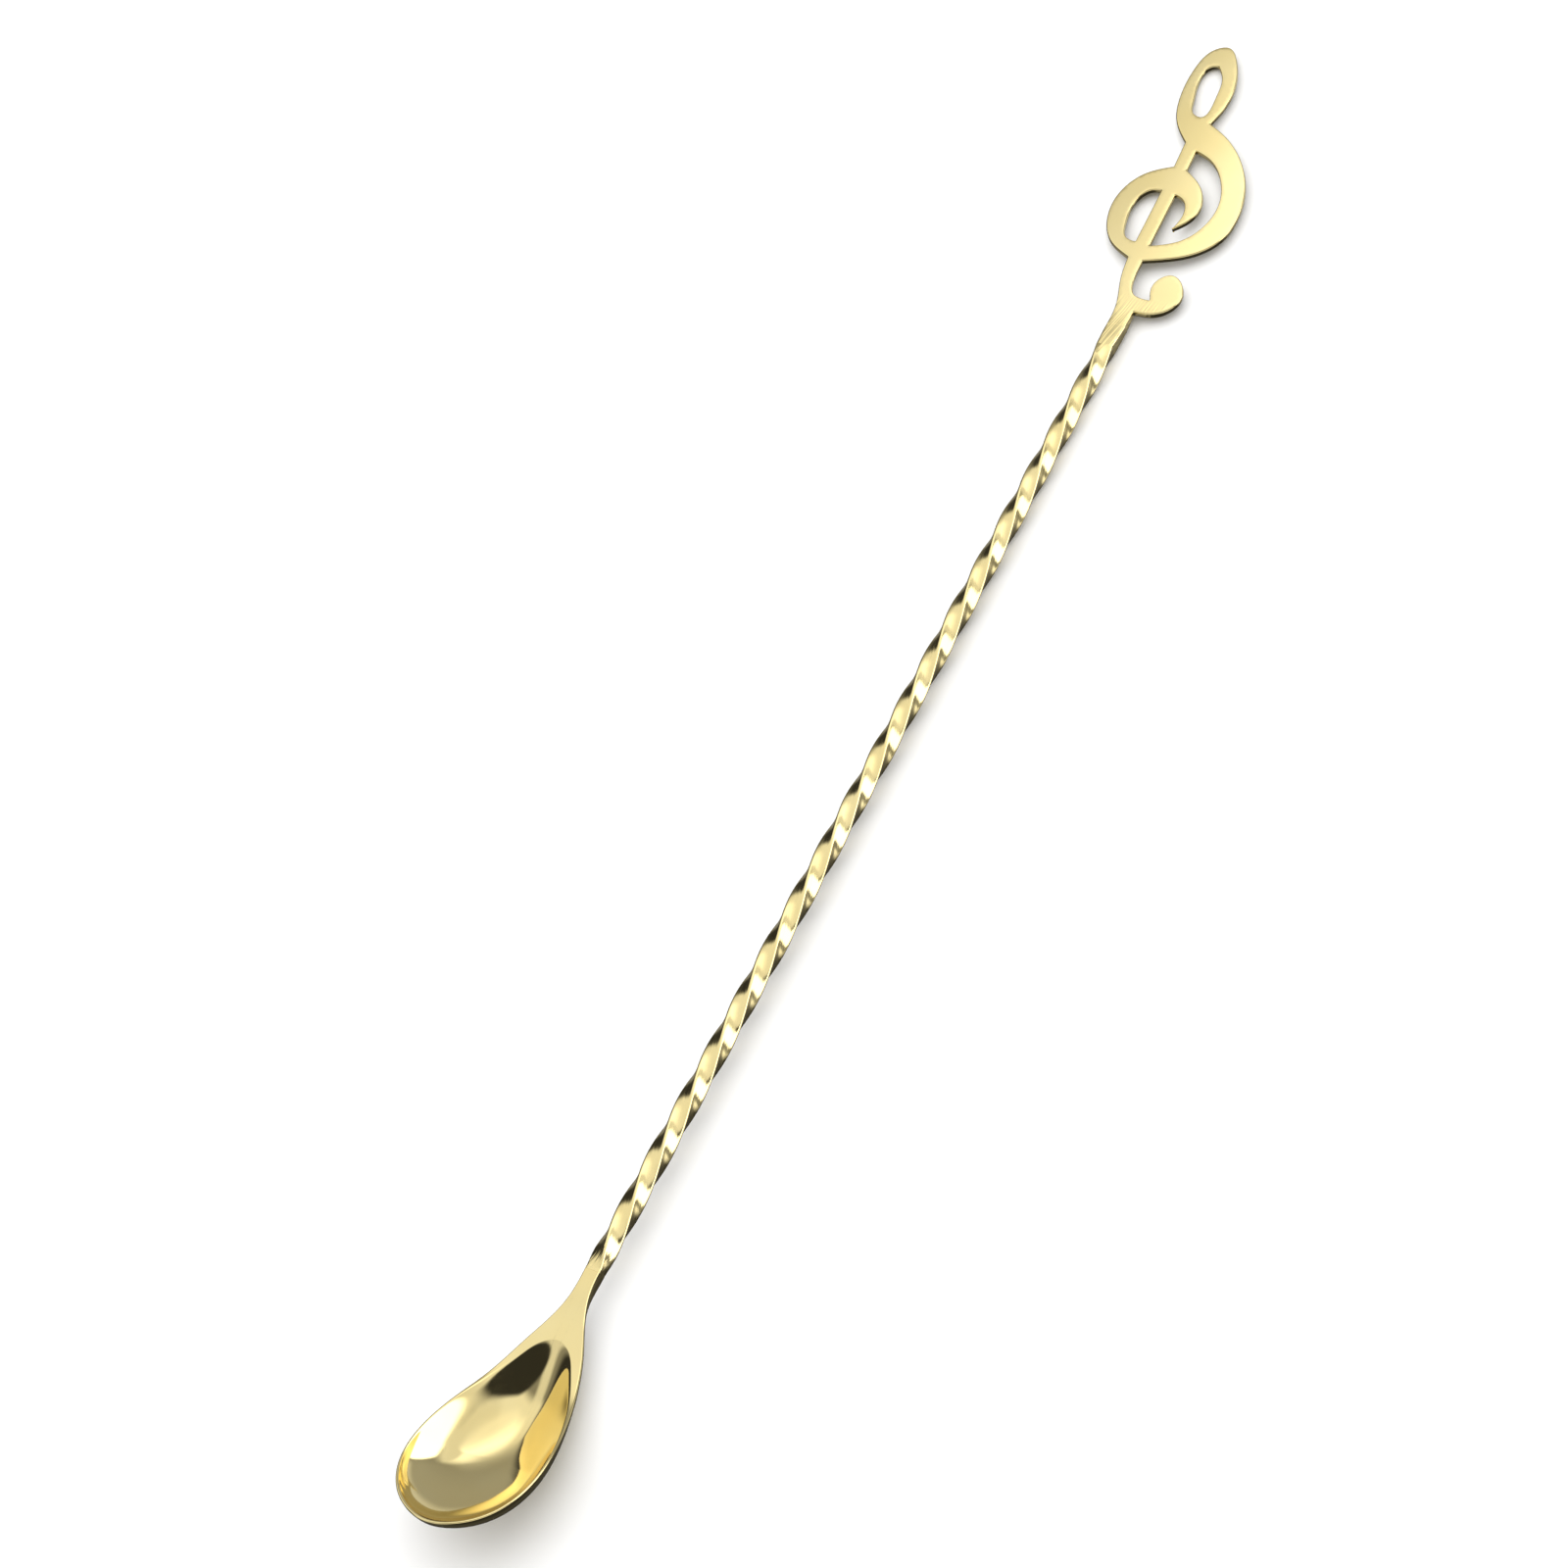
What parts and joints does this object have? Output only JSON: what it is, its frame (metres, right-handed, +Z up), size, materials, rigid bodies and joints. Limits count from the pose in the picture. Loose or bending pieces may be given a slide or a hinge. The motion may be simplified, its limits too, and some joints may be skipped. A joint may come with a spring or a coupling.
{
  "type": "bar spoon",
  "caption": "Long twisted bar spoon: deep oval bowl, square shank twisted along its length, and a flat treble-clef end plate, gold-toned steel.",
  "frame": {"origin": "middle of the bounding box's bottom, on the surface the spoon lies on", "axes": "+Y along the shank from the bowl towards the clef plate, +Z up, the way the bowl opens, +X to the right"},
  "size_m": [0.0246, 0.325, 0.0139],
  "materials": {
    "polished_bowl": "gold-toned stainless steel, mirror polished",
    "twisted_bar": "gold-toned stainless steel, bright, with faint drawing lines along the bar",
    "satin_plate": "gold-toned stainless steel, satin face with tumbled edges and fine grinding lines on the tail",
    "dressed_weld": "gold-toned stainless steel, weld ground flush, with fine file marks"
  },
  "bodies": {
    "root": {"bowl": "polished_bowl", "lower_weld": "dressed_weld", "twisted_shank": "twisted_bar", "upper_weld": "dressed_weld", "clef_finial": "satin_plate"}
  },
  "joints": []
}
